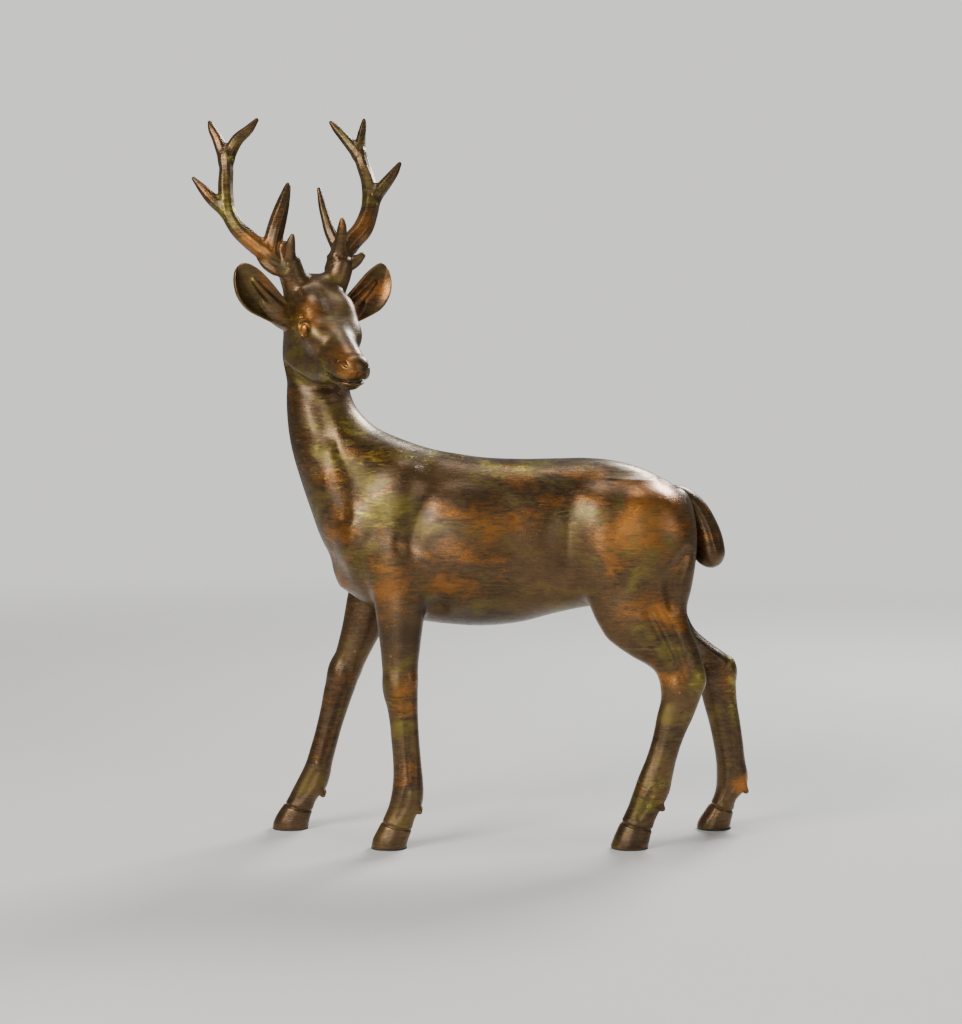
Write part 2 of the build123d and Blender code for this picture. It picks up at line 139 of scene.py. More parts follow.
# Tail: x, y, z, radius.
TAIL = [(131, 0, 236, 5), (140, 0, 231.6, 6.4), (147.6, 0, 223.4, 7.2), (152.4, 0, 213.6, 8),
        (155.6, 0, 203.6, 8.7), (157.2, 0, 193.6, 8.8)]
TAIL_INSIDE = [(145, 0, 220, 5), (150, 0, 206, 6.4), (153, 0, 195.4, 7)]
# Skull, cut square to its own axis: forward, top, bottom, half width, squareness of the lower half.
SKULL = [
    (-27, -13, -17, 1.5, 2.1), (-24.5, -6, -22.5, 8, 2.1), (-17, 4, -34, 14.5, 2.1),
    (-7, 10, -44, 18.4, 2.1), (6, 10.6, -49.5, 20, 2.1), (19, 9.2, -53.5, 20.2, 2.3),
    (30, 7.2, -55, 19.6, 2.6), (40, 5.6, -51.5, 17.6, 3), (50, 4.4, -43, 15, 3.2),
    (60, 3.8, -34, 13, 3.2), (70, 3.8, -26.5, 11.9, 3), (78, 3.4, -22.5, 11.2, 2.6),
    (85, 2, -19.5, 10, 2.3), (90, -1.5, -14.5, 6.6, 2.1),
]
# Antler branches: x, y, z, radius.
ANTLER_RIGHT = {
    "beam": [(-129, -11, 384, 7.4), (-132.5, -11, 389, 7.4), (-138.5, -12, 393.4, 7),
             (-146.8, -13, 400.4, 6.6), (-157, -13, 408.7, 6.4), (-165.2, -13, 416.4, 5.8),
             (-171.3, -12, 426.9, 5.3), (-173.2, -10, 436.5, 5.2), (-174, -7, 446, 5.2),
             (-173.8, -4, 456, 5), (-174.5, -1, 466, 4.9)],
    "outer_fork": [(-174.6, -1, 463, 4.7), (-180.2, 2, 477.6, 3.9), (-184, 3, 484.7, 3),
                   (-186, 4, 489.8, 1.6)],
    "inner_fork": [(-174, -1, 463, 4.7), (-167.6, 1, 476.6, 4.4), (-159.4, 3, 484.7, 3.4),
                   (-153.8, 5, 491.8, 1.5)],
    "outer_tine": [(-173, -11, 428, 4.9), (-182, -11, 435.6, 4.4), (-188.6, -10, 442.7, 3.4),
                   (-195.6, -8, 450.4, 1.5)],
    "bez_tine": [(-143.5, -12.4, 398, 6.6), (-140.4, -11, 412, 6.4), (-137.8, -8, 423, 5.8),
                 (-135, -6, 433.4, 4.6), (-132.4, -4, 443.5, 2.7), (-131.8, -3.6, 446.6, 1.6)],
    "brow_tine": [(-130.4, -11, 389, 6.2), (-129.9, -16, 399, 4.6), (-128.6, -19, 405.6, 3.3),
                  (-127.3, -21, 410.6, 1.7)],
    "dowel_boss": [(-132, -11, 390, 6), (-132.4, -11.6, 398, 5), (-132.5, -12.4, 403.4, 4.3)],
    "spur": [(-133, -15, 386.6, 3.6), (-139.5, -16.4, 387.6, 3.6), (-146, -16, 391.6, 3),
             (-149.6, -15.4, 395.4, 1.8)],
}
ANTLER_LEFT = {
    "beam": [(-99.6, 8, 389, 8.2), (-97.4, 9, 396, 8), (-93.5, 11.5, 403, 7.3), (-88.6, 15, 409.4, 7),
             (-82.1, 20, 417.6, 7.1), (-78, 27, 429.4, 6.4), (-76.8, 32, 440, 6.3),
             (-79, 38, 452.5, 5.3), (-82.1, 43, 461.3, 4.9), (-85.4, 47, 471.5, 4.9)],
    "outer_fork": [(-85.6, 46.8, 472, 4.4), (-84.6, 50, 484.5, 3.2), (-83.4, 51, 490.9, 2.5),
                   (-82.6, 52, 496.4, 1.5)],
    "inner_fork": [(-86.6, 47, 472, 4.6), (-96.4, 50, 483.8, 3.7), (-102.3, 52, 490.3, 2.8),
                   (-106.2, 53, 494.8, 1.5)],
    "outer_tine": [(-76, 32, 438.6, 5.4), (-66.2, 33, 450.7, 4.2), (-60.7, 34, 458, 3.2),
                   (-56.9, 35, 464.2, 1.6)],
    "bez_tine": [(-96, 10, 400, 5.4), (-103.6, 13, 414.4, 4.3), (-106.9, 16, 423.9, 3.5),
                 (-109.8, 18, 433.7, 2.8), (-112.4, 21, 445.4, 1.5)],
    "brow_tine": [(-98, 7, 398, 5.8), (-95.8, 1, 410.4, 4.1), (-94.9, -2, 417, 3.3),
                  (-94.7, -4, 422.4, 1.8)],
    "spur": [(-97, 5, 391.6, 5.6), (-91.4, 7, 391.8, 4.6), (-86, 8, 394.8, 3.8),
             (-82, 8.6, 398.6, 2.6)],
}
ANTLERS = {1: ANTLER_LEFT, -1: ANTLER_RIGHT}
FLUTES = 6  # grooves round a branch
FLUTE_DEPTH = 0.22  # half the depth of a groove on a branch of 6 mm radius
BURR_KNOBS = 14  # knobs round an antler's base
# Pedicles the antlers grow from, in the head's level frame: left, back, up, radius.
PEDICLE = [(12, 2, 0, 9.6), (16.6, 1, 11, 9), (19.4, 0.5, 19, 8.4)]
# Eye, in the head's pitched frame, for the left side: left, forward, up.
EYE = (16.1, 32.7, -7.7)
EYE_FACES = (0.64, 0.66, 0.4)  # direction that the eye looks in
EYE_RADIUS = 5
# Ears, in the head's level frame, along the middle line: left, back, up, half width.
# By side: 1 is the head's own left, -1 its right.
EARS = {
    1: [(16, 5, -19, 6.5), (24, 4, -14.5, 8.8), (32, 3, -8.6, 11), (39.8, 2, -2, 12.6),
        (46, 1.2, 6, 12), (50, 0.6, 13, 9.8), (52.4, 0.2, 20.2, 7)],
    -1: [(16, 5, -19, 6.5), (24.5, 4, -14.5, 8.8), (33, 3, -9, 11), (41.6, 2, -2.8, 12.9),
         (48.8, 1.2, 4.6, 12.6), (53.6, 0.6, 11.2, 10.4), (56.8, 0.2, 17.2, 8)],
}
EAR_PARTS = 30  # finer stations along the ear's middle line
EAR_THICK = 1.9  # half thickness of the ear's wall in its middle
EAR_RIM = 1.5  # how much thicker the wall is at the ear's edge
EAR_CUP = 6.0  # how far the ear's edges stand forward of its middle
# Colours of the bronze.
DARK = (0.02, 0.012, 0.006, 1)
BROWN = (0.12, 0.066, 0.026, 1)
OLIVE = (0.17, 0.132, 0.016, 1)
GOLD = (0.38, 0.3, 0.03, 1)
RUST = (0.4, 0.145, 0.014, 1)
WORN = (0.42, 0.24, 0.08, 1)
CRACKED = (0.008, 0.005, 0.003, 1)
# Noises in the bronze: scale, detail, roughness, stretch, twist, place.
NOISES = {
    "cloud": (17, 4, 0.6, (1, 1, 1.4), 0.0, 3.1),
    "haze": (30, 5, 0.62, (1, 1, 1.6), 0.5, 7.7),
    "strokes": (110, 6, 0.7, (1, 1, 6), 0.5, 1.7),
    "fine": (260, 6, 0.72, (1, 1, 7), 0.2, 5.3),
    "flakes": (75, 7, 0.74, (1, 1, 3), 0.8, 9.4),
    "cracks": (130, 2, 0.5, (0.35, 0.35, 3), 1.6, 12.0),
}
# Set, in metres and watts.
WORLD_GLOW = 0.24  # how bright the surroundings are as light on the stag
WORLD_SEEN = 1.25  # how bright they are behind it
FLOOR_RADIUS = 2.2
FLOOR_FADES = (0.7, 2.0)  # from where to where the floor fades out
AIM = (0, 0, 0.24)
# Lights: place, width and height, power, colour.
LIGHTS = {
    "key": ((-1.1, -1.35, 1.15), (0.8, 0.8), 40, (1.0, 0.96, 0.9)),
    "front": ((-0.5, -1.9, 0.5), (0.5, 1.0), 10, (1.0, 0.98, 0.95)),
    "fill": ((1.5, -1.6, 0.8), (1.0, 1.2), 9, (0.95, 0.97, 1.0)),
    "rim": ((0.8, 1.2, 1.3), (0.7, 0.5), 40, (0.97, 0.98, 1.0)),
    "top": ((-0.1, 0.1, 1.9), (0.9, 0.6), 9, (1.0, 1.0, 1.0)),
}
# Camera: level, on the stag's left, at the height of its head. The shift puts the feet in the frame.
CAMERA_AT = (ORIGIN[0] / 1000, -1.55, 0.328)
CAMERA_LENS = 79.8
CAMERA_SHIFT = -0.15


# ---- distance field
class Field:
    """A list of shapes, each added to or cut from the ones before it, smoothly over a blend width."""

    def __init__(self):
        self.shapes = []

    def add(self, shape, blend=0.0):
        self.shapes.append((1, *shape, blend))

    def cut(self, shape, blend=0.0):
        self.shapes.append((-1, *shape, blend))

    def sample(self, low, high, step):
        """Distances on a lattice whose points are whole multiples of step, negative inside."""
        start = np.floor(np.array(low) / step).astype(int)
        count = np.ceil(np.array(high) / step).astype(int) - start + 1
        axes = [(start[i] + np.arange(count[i])) * step for i in range(3)]
        values = np.full(count, FAR, dtype=np.float32)
        for sign, lo, hi, distance, blend in self.shapes:
            reach = blend + 3 * step
            span = tuple(
                slice(*np.searchsorted(axes[i], (lo[i] - reach, hi[i] + reach))) for i in range(3)
            )
            if any(s.start >= s.stop for s in span):
                continue
            x, y, z = np.ix_(*[axes[i][span[i]].astype(np.float32) for i in range(3)])
            here = distance(x, y, z)
            values[span] = sign * smooth_min(sign * values[span], here, blend)
        return values, start * step


def smooth_min(a, b, width):
    """The smaller of two distances, rounded where they are nearly equal."""
    if width <= 0:
        return np.minimum(a, b)
    h = np.clip(0.5 + 0.5 * (b - a) / width, 0, 1)
    return b + h * (a - b) - width * h * (1 - h)


def smooth_max(a, b, width):
    return -smooth_min(-a, -b, width)


def unit(vectors):
    """Vectors brought to length one, along their last axis."""
    return vectors / np.linalg.norm(vectors, axis=-1, keepdims=True)


def dot(x, y, z, way):
    return x * way[0] + y * way[1] + z * way[2]


def smooth_rows(rows, where):
    """Values of the rows' later columns at places along their first column, on a smooth curve."""
    table = np.array(sorted(rows), dtype=float)
    knots, columns = table[:, 0], table[:, 1:]
    slopes = np.gradient(columns, knots, axis=0)
    where = np.clip(where, knots[0], knots[-1])
    i = np.clip(np.searchsorted(knots, where) - 1, 0, len(knots) - 2)
    gap = knots[i + 1] - knots[i]
    t = ((where - knots[i]) / gap)[:, None]
    gap = gap[:, None]
    return (
        (2 * t**3 - 3 * t**2 + 1) * columns[i]
        + (t**3 - 2 * t**2 + t) * gap * slopes[i]
        + (3 * t**2 - 2 * t**3) * columns[i + 1]
        + (t**3 - t**2) * gap * slopes[i + 1]
    ).T.astype(np.float32)


def smooth_path(stations, parts=5):
    """A finer list of x, y, z, radius stations on a smooth curve through the given ones."""
    points = np.array(stations, dtype=float)
    rows = np.column_stack([np.arange(len(points)), points])
    return smooth_rows(rows.tolist(), np.linspace(0, len(points) - 1, parts * (len(points) - 1) + 1)).T


def oval(u, v, half_u, half_v, power=2.0):
    """Distance to an oval, from offsets along its two half axes."""
    half_u = np.maximum(half_u, 0.5)
    half_v = np.maximum(half_v, 0.5)
    u, v = np.abs(u) / half_u + 1e-6, np.abs(v) / half_v + 1e-6
    size = (u**power + v**power) ** (1 / power)
    slope = np.sqrt((u ** (power - 1) / half_u) ** 2 + (v ** (power - 1) / half_v) ** 2)
    return (size - 1) / (slope / size ** (power - 1))


def ends(along, first, last, distance):
    """A tube's distance, closed off square beyond its two ends."""
    return np.maximum(distance, np.maximum(first - along, along - last))


def ellipsoid(local, radii):
    """Distance to an ellipsoid, from offsets along its three half axes."""
    near = np.sqrt(sum((p / r) ** 2 for p, r in zip(local, radii))) + 1e-6
    far = np.sqrt(sum((p / r**2) ** 2 for p, r in zip(local, radii))) + 1e-6
    return near * (near - 1) / far


def ball(centre, radii, turn=(0, 0, 0)):
    """Ellipsoid, turned by degrees about X, then Y, then Z."""
    axes = rotation(turn)
    reach = np.sqrt((axes**2) @ (np.array(radii, dtype=float) ** 2))
    low, high = np.array(centre) - reach, np.array(centre) + reach

    def distance(x, y, z):
        x, y, z = x - centre[0], y - centre[1], z - centre[2]
        return ellipsoid([dot(x, y, z, way) for way in axes.T], radii)

    return low, high, distance


def rotation(turn):
    """Matrix of a turn by degrees about X, then Y, then Z."""
    a, b, c = [radians(t) for t in turn]
    about_x = np.array([[1, 0, 0], [0, cos(a), -sin(a)], [0, sin(a), cos(a)]])
    about_y = np.array([[cos(b), 0, sin(b)], [0, 1, 0], [-sin(b), 0, cos(b)]])
    about_z = np.array([[cos(c), -sin(c), 0], [sin(c), cos(c), 0], [0, 0, 1]])
    return about_z @ about_y @ about_x


def cone(start, end):
    """Round bar between two x, y, z, radius ends."""
    start, end = np.array(start, dtype=float), np.array(end, dtype=float)
    a, b = start[:3], end[:3]
    along = b - a
    length_squared = max(float(along @ along), 1e-9)
    radius = max(start[3], end[3])
    low, high = np.minimum(a, b) - radius, np.maximum(a, b) + radius

    def distance(x, y, z):
        x, y, z = x - a[0], y - a[1], z - a[2]
        t = np.clip(dot(x, y, z, along) / length_squared, 0, 1)
        x, y, z = x - t * along[0], y - t * along[1], z - t * along[2]
        return np.sqrt(x * x + y * y + z * z) - (start[3] + t * (end[3] - start[3]))

    return low, high, distance


def rope(stations, parts=5):
    """Smooth tapering tube through x, y, z, radius stations, as one shape."""
    path = smooth_path(stations, parts)
    bars = [cone(path[i], path[i + 1]) for i in range(len(path) - 1)]
    low = np.min([bar[0] for bar in bars], axis=0)
    high = np.max([bar[1] for bar in bars], axis=0)

    def distance(x, y, z):
        nearest = bars[0][2](x, y, z)
        for bar in bars[1:]:
            nearest = np.minimum(nearest, bar[2](x, y, z))
        return nearest

    return low, high, distance


def trunk_shape():
    first, last = TRUNK[0][0], TRUNK[-1][0]

    def distance(x, y, z):
        top, bottom, half_width = smooth_rows(TRUNK, x.ravel())[:, :, None, None]
        middle, half_height = (top + bottom) / 2, (top - bottom) / 2
        rise = np.clip((z - middle) / half_height, -1, 1)
        half_width = half_width * (1 - TRUNK_TAPER * rise)
        return ends(x, first, last, oval(y, z - middle, half_width, half_height, 2.15))

    return (first, -48, 140), (last, 48, 275), distance


def upright_tube(rows, side, power, x_reach, y_reach):
    """Tube through level sections: z, front x, back x, distance out on one side, half width."""
    low, high = rows[-1][0], rows[0][0]

    def distance(x, y, z):
        front, back, out, half_width = smooth_rows(rows, z.ravel())[:, None, None, :]
        centre = (front + back) / 2
        shape = oval(x - centre, y - side * out, (back - front) / 2, half_width, power)
        return ends(z, low, high, shape * TUBE_SHARE)

    return (min(x_reach), min(y_reach), low), (max(x_reach), max(y_reach), high), distance


def neck_shape():
    return upright_tube(NECK, 1, 2.0, (-136, -20), (-38, 38))


def leg_shape(side, rows):
    reach = [row[1] for row in rows] + [row[2] for row in rows]
    return upright_tube(rows, side, 2.1, reach, (side * 2, side * 46))


def leg_point(rows, side, z, share, out=0.0):
    """Point of a leg at height z: share runs from 0 in front to 1 at the back, out in half widths."""
    front, back, distance_out, half_width = smooth_rows(rows, np.array([float(z)]))[:, 0]
    return front + share * (back - front), side * distance_out + out * half_width, z


# ---- head frames
LEFT = np.array([cos(HEAD_TURN), sin(HEAD_TURN), 0])
FORWARD = np.array([sin(HEAD_TURN), -cos(HEAD_TURN), 0])
NOSEWARD = FORWARD * cos(HEAD_PITCH) - np.array([0, 0, sin(HEAD_PITCH)])
CROWNWARD = FORWARD * sin(HEAD_PITCH) + np.array([0, 0, cos(HEAD_PITCH)])


def on_head(left, forward, up):
    """A point of the pitched head frame in the field's frame."""
    return np.array(HEAD_AT) + LEFT * left + NOSEWARD * forward + CROWNWARD * up


def on_level(left, back, up):
    """A point of the level head frame in the field's frame."""
    return np.array(HEAD_AT) + LEFT * left - FORWARD * back + np.array([0, 0, up])


def head_coordinates(x, y, z):
    """Offsets of the lattice's points along the pitched head frame's three directions."""
    x, y, z = x - HEAD_AT[0], y - HEAD_AT[1], z - HEAD_AT[2]
    return [dot(x, y, z, way) for way in (LEFT, NOSEWARD, CROWNWARD)]


def head_box(low, high):
    """Box round a box of the pitched head frame, in the field's frame."""
    corners = [on_head(*corner) for corner in product(*zip(low, high))]
    return np.min(corners, axis=0), np.max(corners, axis=0)


def head_ball(centre, radii, roll=0.0):
    """Ellipsoid lined up with the head, rolled by degrees about the direction across it."""
    low = np.array(centre) - max(radii)
    high = np.array(centre) + max(radii)
    cosine, sine = cos(radians(roll)), sin(radians(roll))

    def distance(x, y, z):
        left, forward, up = head_coordinates(x, y, z)
        left, forward, up = left - centre[0], forward - centre[1], up - centre[2]
        forward, up = forward * cosine + up * sine, up * cosine - forward * sine
        return ellipsoid((left, forward, up), radii)

    return *head_box(low, high), distance


def head_rope(side, stations, parts=4):
    """Smooth tube through left, forward, up, radius stations of the pitched frame, on one side."""
    path = [(*on_head(side * left, forward, up), radius) for left, forward, up, radius in stations]
    return rope(path, parts)


def level_rope(side, stations):
    """Smooth tube through left, back, up, radius stations of the level frame, on one side."""
    return rope([(*on_level(side * left, back, up), radius) for left, back, up, radius in stations])


def skull_shape():
    first, last = SKULL[0][0], SKULL[-1][0]

    def distance(x, y, z):
        left, forward, up = head_coordinates(x, y, z)
        top, bottom, half_width, square = smooth_rows(SKULL, forward.ravel()).reshape(4, *forward.shape)
        middle, half_height = (top + bottom) / 2, (top - bottom) / 2
        drop = np.clip((middle - up) / half_height, 0, 1)
        width = half_width * (1 - 0.5 * drop * np.clip(2.4 - square, 0, 1))
        power = np.where(drop > 0, square, 2.2)
        shape = oval(left, up - middle, width, half_height, power)
        return ends(forward, first, last, shape * SKULL_SHARE)

    return *head_box((-22, first, -56), (22, last, 14)), distance


# ---- the sculpture
def body_field():
    """Trunk, neck and legs, with the muscles that show through the hide."""
    field = Field()
    field.add(trunk_shape())
    field.add(neck_shape(), 9)
    for side, rows, _, _ in LEGS.values():
        field.add(leg_shape(side, rows), 5)
    for side in (-1, 1):
        add_shoulder(field, side)
        add_flank(field, side)
        add_rump(field, side)
    for name in LEGS:
        add_joints(field, name)
        add_foot(field, name)
    field.add(ball((-88, 0, 181), (11, 11, 13), (0, -35, 0)), 12)
    return field


def add_shoulder(field, y):
    """Shoulder blade, point of the shoulder, upper arm, elbow, and the hollows between them."""
    field.add(ball((-58, y * 26, 224), (17, 11.6, 31), (0, 20, 0)), 12)
    field.add(ball((-82, y * 24.5, 207), (11, 12.6, 20), (0, 12, 0)), 9)
    field.add(ball((-58, y * 29.5, 192), (17, 9.8, 18), (0, -18, 0)), 9)
    field.add(ball((-41, y * 28.5, 173), (7.5, 8.8, 11)), 5)
    behind = [(-33, y * 42.4, 244, 1.4), (-37, y * 43, 232, 3), (-41.4, y * 43.4, 217, 3.8),
              (-46, y * 43.4, 204, 2.6)]
    field.cut(rope(behind), 12)
    field.cut(ball((-27, y * 36, 163), (8, 9, 9)), 7)
    field.cut(rope([(-104, y * 27, 266, 1.6), (-99, y * 31.4, 252, 2.8), (-95.5, y * 33.6, 238, 3.4),
                    (-94, y * 34.4, 224, 1.8)]), 9)
    field.cut(rope([(-110, y * 23.4, 298, 1.6), (-105, y * 28, 280, 2.4), (-108, y * 30, 262, 2.6),
                    (-114, y * 29, 244, 1.6)]), 10)


def add_flank(field, y):
    """Ribcage and the crease in front of the thigh."""
    field.add(ball((-14, y * 27, 201), (31, 13.4, 36)), 12)
    field.cut(ball((59, y * 45, 194), (6, 6.6, 38), (0, 5, 0)), 16)


def add_rump(field, y):
    """Hip, thigh, buttock and the fold behind the thigh."""
    field.add(ball((82, y * 25.4, 204), (18, 14, 34), (0, -3, 0)), 12)
    field.add(ball((113, y * 27, 207), (25, 14.8, 29), (0, 16, 0)), 10)
    field.add(ball((131, y * 17, 208), (13, 14, 32), (0, 6, 0)), 8)
    fold = [(137.5, y * 37, 197, 1.4), (131, y * 40.6, 187, 2.6), (127, y * 42.2, 177, 3),
            (129, y * 40.4, 163, 1.6)]
    field.cut(rope(fold), 7)
    field.cut(ball((148, 0, 199), (9, 3.5, 30)), 5)


def add_joints(field, name):
    """Knee or hock, and the tendons below it."""
    side, rows, _, _ = LEGS[name]

    def path(out, *stations):
        """Rope on one side of this leg: height, share from front to back, half widths out, radius."""
        return rope([(*leg_point(rows, side, z, share, out * wide), radius)
                     for z, share, wide, radius in stations])

    if name.startswith("foreleg"):
        field.add(ball(leg_point(rows, side, 108, 0.38), (8.4, 9.9, 13)), 4)
        field.add(ball(leg_point(rows, side, 112, 0.74), (4, 9, 6)), 3.5)
    else:
        field.add(ball(leg_point(rows, side, 108, 0.34), (8, 9.6, 11)), 4)
        field.add(ball(leg_point(rows, side, 112, 0.84), (5, 7.4, 8)), 3)
        for out in (-1, 1):
            field.cut(path(out, (160, 0.66, 1.06, 2.2), (148, 0.72, 1.1, 3.2), (136, 0.72, 1.14, 3.4),
                           (125, 0.62, 1.2, 2.6), (116, 0.56, 1.2, 1.4)), 4)
            field.add(path(out, (156, 0.5, 0.72, 3), (144, 0.56, 0.66, 3.6), (133, 0.52, 0.62, 3.8),
                           (122, 0.42, 0.62, 3.4)), 4)
    for out in (-1, 1):
        field.cut(path(out, (98, 0.7, 1.14, 1.2), (84, 0.7, 1.16, 2.2), (64, 0.7, 1.16, 2.2),
                       (46, 0.66, 1.16, 1.2)), 2.6)
        field.cut(path(out, (40, 0.5, 1.24, 1.4), (30, 0.46, 1.24, 2), (22, 0.42, 1.2, 1.2)), 3)


def add_foot(field, name):
    """Dewclaws, the groove round the top of the hoof, and the cleft between its two toes."""
    side, rows, _, dewclaw = LEGS[name]
    y = side * FOOT_OUT
    for out in (-1, 1):
        upper = (dewclaw[0] - 4, y + out * 4, dewclaw[1] + 7, 3)
        field.add(cone(upper, (dewclaw[0] + 0.6, y + out * 4.4, dewclaw[1] - 2.4, 2)), 2)
    rim = []
    for i in range(25):
        angle = tau * i / 24
        height = HOOF_TOP + HOOF_SLOPE * cos(angle)
        rim.append((*leg_point(rows, side, height, 0.5 - 0.5 * cos(angle), sin(angle)), 0.8))
    field.cut(rope(rim, 1), 0.8)
    toe = leg_point(rows, side, 7, 0)[0]
    heel = leg_point(rows, side, 7, 1)[0]
    field.cut(ball((toe + 0.5, y, 8), (7, 1.2, 14), (0, HOOF_LEAN, 0)), 0.9)
    field.cut(ball((heel + 1, y, 7), (7, 1.4, 12), (0, HOOF_LEAN, 0)), 0.9)


def head_field():
    """The neck's upper end with the skull and everything on the face."""
    field = Field()
    field.add(neck_shape())
    field.add(skull_shape(), 4)
    for side in (-1, 1):
        field.add(level_rope(side, PEDICLE), 7)
        add_face_side(field, side)
        add_eye(field, side)
    add_muzzle(field)
    return field


def add_face_side(field, side):
    """Jaw, cheekbone, brow and side of the nose."""
    field.add(head_ball((side * 10.4, 22, -36.6), (9.4, 19, 17.4)), 7)
    field.add(head_ball((side * 12.2, 37, -5.5), (8.6, 15, 9.5), -8), 8)
    field.add(head_ball((side * 11, 20, 1), (9, 13, 9)), 8)
    field.add(head_ball((side * 5.6, 79.5, -8.4), (6.8, 9, 6.4)), 3)


def add_eye(field, side):
    """Socket, eyeball, ring of lid, the crease above it and the tear duct of one side."""
    mirror = np.array([side, 1, 1])
    outward = unit(np.array(EYE_FACES))
    slant = np.array([0, 1, -0.45])
    noseward = unit(slant - outward * (slant @ outward))
    upward = np.cross(outward, noseward)
    upward = upward * np.sign(upward[2])

    def place(ahead, high, lift):
        """Point over the eye: towards the nose, upwards and outwards from the eyeball's middle."""
        return (np.array(EYE) + noseward * ahead + upward * high + outward * lift) * mirror

    def arc(ahead, high, lift, radius, first, last):
        """Oval arc round the eye between two angles, counted from the nose side upwards."""
        angles = np.radians(np.linspace(first, last, 13))
        return head_rope(1, [(*place(ahead * cos(a), high * sin(a), lift), radius) for a in angles], 2)

    field.cut(head_ball(place(0, 0, 6.4), (5.4, 5.4, 5.4)), 3)
    field.cut(arc(8.6, 6.2, 2.8, 1.1, 0, 180), 1.2)
    field.add(head_ball(np.array(EYE) * mirror, (EYE_RADIUS,) * 3), 0.2)
    field.add(arc(6.4, 3.9, 2.9, 1.0, 0, 360), 0.5)
    duct = [(*place(6.6, -1, 2.4), 1), (*place(9.4, -2, 2.2), 1.1), (*place(12.4, -3.4, 1.6), 0.6)]
    field.cut(head_rope(1, duct), 1)


def add_muzzle(field):
    """Nose pad, chin, nostrils, lower lip, mouth, the groove under the nose, and the throat."""
    field.add(head_ball((0, 83, -2.6), (9.6, 7.6, 6.8)), 3)
    field.add(head_ball((0, 79.5, -17.2), (8.6, 8.4, 5)), 1.8)
    nostril = [(6.4, 87, -1.8, 0.8), (8.2, 84.6, -0.6, 1.5), (9.2, 81, -0.8, 1.6), (9.6, 78.6, -2.8, 0.7)]
    lip = [(0.8, 88.8, -13.4, 1.4), (5, 87.4, -14, 1.5), (8.8, 82, -16.4, 1.5), (10.2, 75.4, -19.4, 1.1)]
    mouth = [(0.2, 90.4, -10.4, 1.7), (4.8, 89.4, -10.8, 1.8), (8.8, 85.4, -12.2, 1.9),
             (10.8, 79.4, -14.7, 1.9), (11.2, 73.6, -17, 1.8), (10.9, 68.4, -19.2, 1.3)]
    for side in (-1, 1):
        field.cut(head_rope(side, nostril), 0.8)
        field.add(head_rope(side, lip), 1)
        field.cut(head_rope(side, mouth), 0.2)
    field.cut(head_rope(1, [(0, 91, -3, 0.5), (0, 91.2, -7, 0.6), (0, 90.6, -10.6, 0.5)]), 0.8)
    throat = [(-132.4, -4, 323, 1.2), (-127.6, -12, 317, 2), (-119, -17.4, 312.6, 2.4),
              (-109, -18.4, 311, 2.4), (-100, -16.4, 311, 2.2), (-93, -10, 311, 1.2)]
    field.cut(rope(throat), 7)


def antler_field(branches, seed):
    """One antler, with a knobbly burr."""
    field = Field()
    for name, stations in branches.items():
        field.add(rope(stations, 6), 0 if name == "beam" else 2.6)
    base = np.array(branches["beam"][1][:3])
    toward = unit(np.array(branches["beam"][2][:3]) - base)
    across = unit(np.cross(toward, (0, 1, 0)))
    other = np.cross(toward, across)
    random = np.random.default_rng(seed)
    radius = branches["beam"][1][3] - 0.7
    for i in range(BURR_KNOBS):
        angle = tau * i / BURR_KNOBS + random.uniform(-0.15, 0.15)
        spot = base + (across * cos(angle) + other * sin(angle)) * radius
        spot = spot - toward * random.uniform(1.5, 3)
        size = random.uniform(1.2, 1.8)
        field.add(ball(spot, (size, size, size)), 1.8)
    return field


def flute(obj, branches):
    """Presses long shallow grooves along the branches of an antler still in field millimetres."""
    points = vertex_places(obj.data).astype(float)
    paths = [smooth_path(stations, 20) for stations in branches.values()]
    middles = np.concatenate([path[:, :3] for path in paths])
    radii = np.concatenate([path[:, 3] for path in paths])
    ways = unit(np.concatenate([np.gradient(path[:, :3], axis=0) for path in paths]))
    tree = KDTree(len(middles))
    for i, middle in enumerate(middles):
        tree.insert(middle, i)
    tree.balance()
    nearest = np.array([tree.find(point)[1] for point in points])
    way = ways[nearest]
    out = points - middles[nearest]
    out = out - way * (out * way).sum(axis=1)[:, None]
    across = unit(np.cross(way, (0, 1, 0)))
    other = np.cross(way, across)
    angle = np.arctan2((out * other).sum(axis=1), (out * across).sum(axis=1))
    angle = angle + 0.15 * np.sin(points[:, 2] / 9)
    depth = FLUTE_DEPTH * radii[nearest] / 6 * (1 - np.cos(FLUTES * angle))
    outward = out / (np.linalg.norm(out, axis=1)[:, None] + 1e-6)
    write_places(obj.data, points - outward * depth[:, None])
    for _ in range(2):
        soften(obj.data)


def soften(mesh):
    """Draws each vertex half way to the middle of its neighbours, which takes the stair steps off."""
    edges = np.empty(len(mesh.edges) * 2, dtype=np.int32)
    mesh.edges.foreach_get("vertices", edges)
    a, b = edges.reshape(-1, 2).T
    points = vertex_places(mesh).astype(float)
    total = np.zeros_like(points)
    count = np.zeros(len(points))
    for here, there in ((a, b), (b, a)):
        np.add.at(total, here, points[there])
        np.add.at(count, here, 1)
    write_places(mesh, (points + total / count[:, None]) / 2)


def vertex_places(mesh):
    places = np.empty(len(mesh.vertices) * 3, dtype=np.float32)
    mesh.vertices.foreach_get("co", places)
    return places.reshape(-1, 3)


def write_places(mesh, places):
    mesh.vertices.foreach_set("co", places.astype(np.float32).ravel())
    mesh.update()


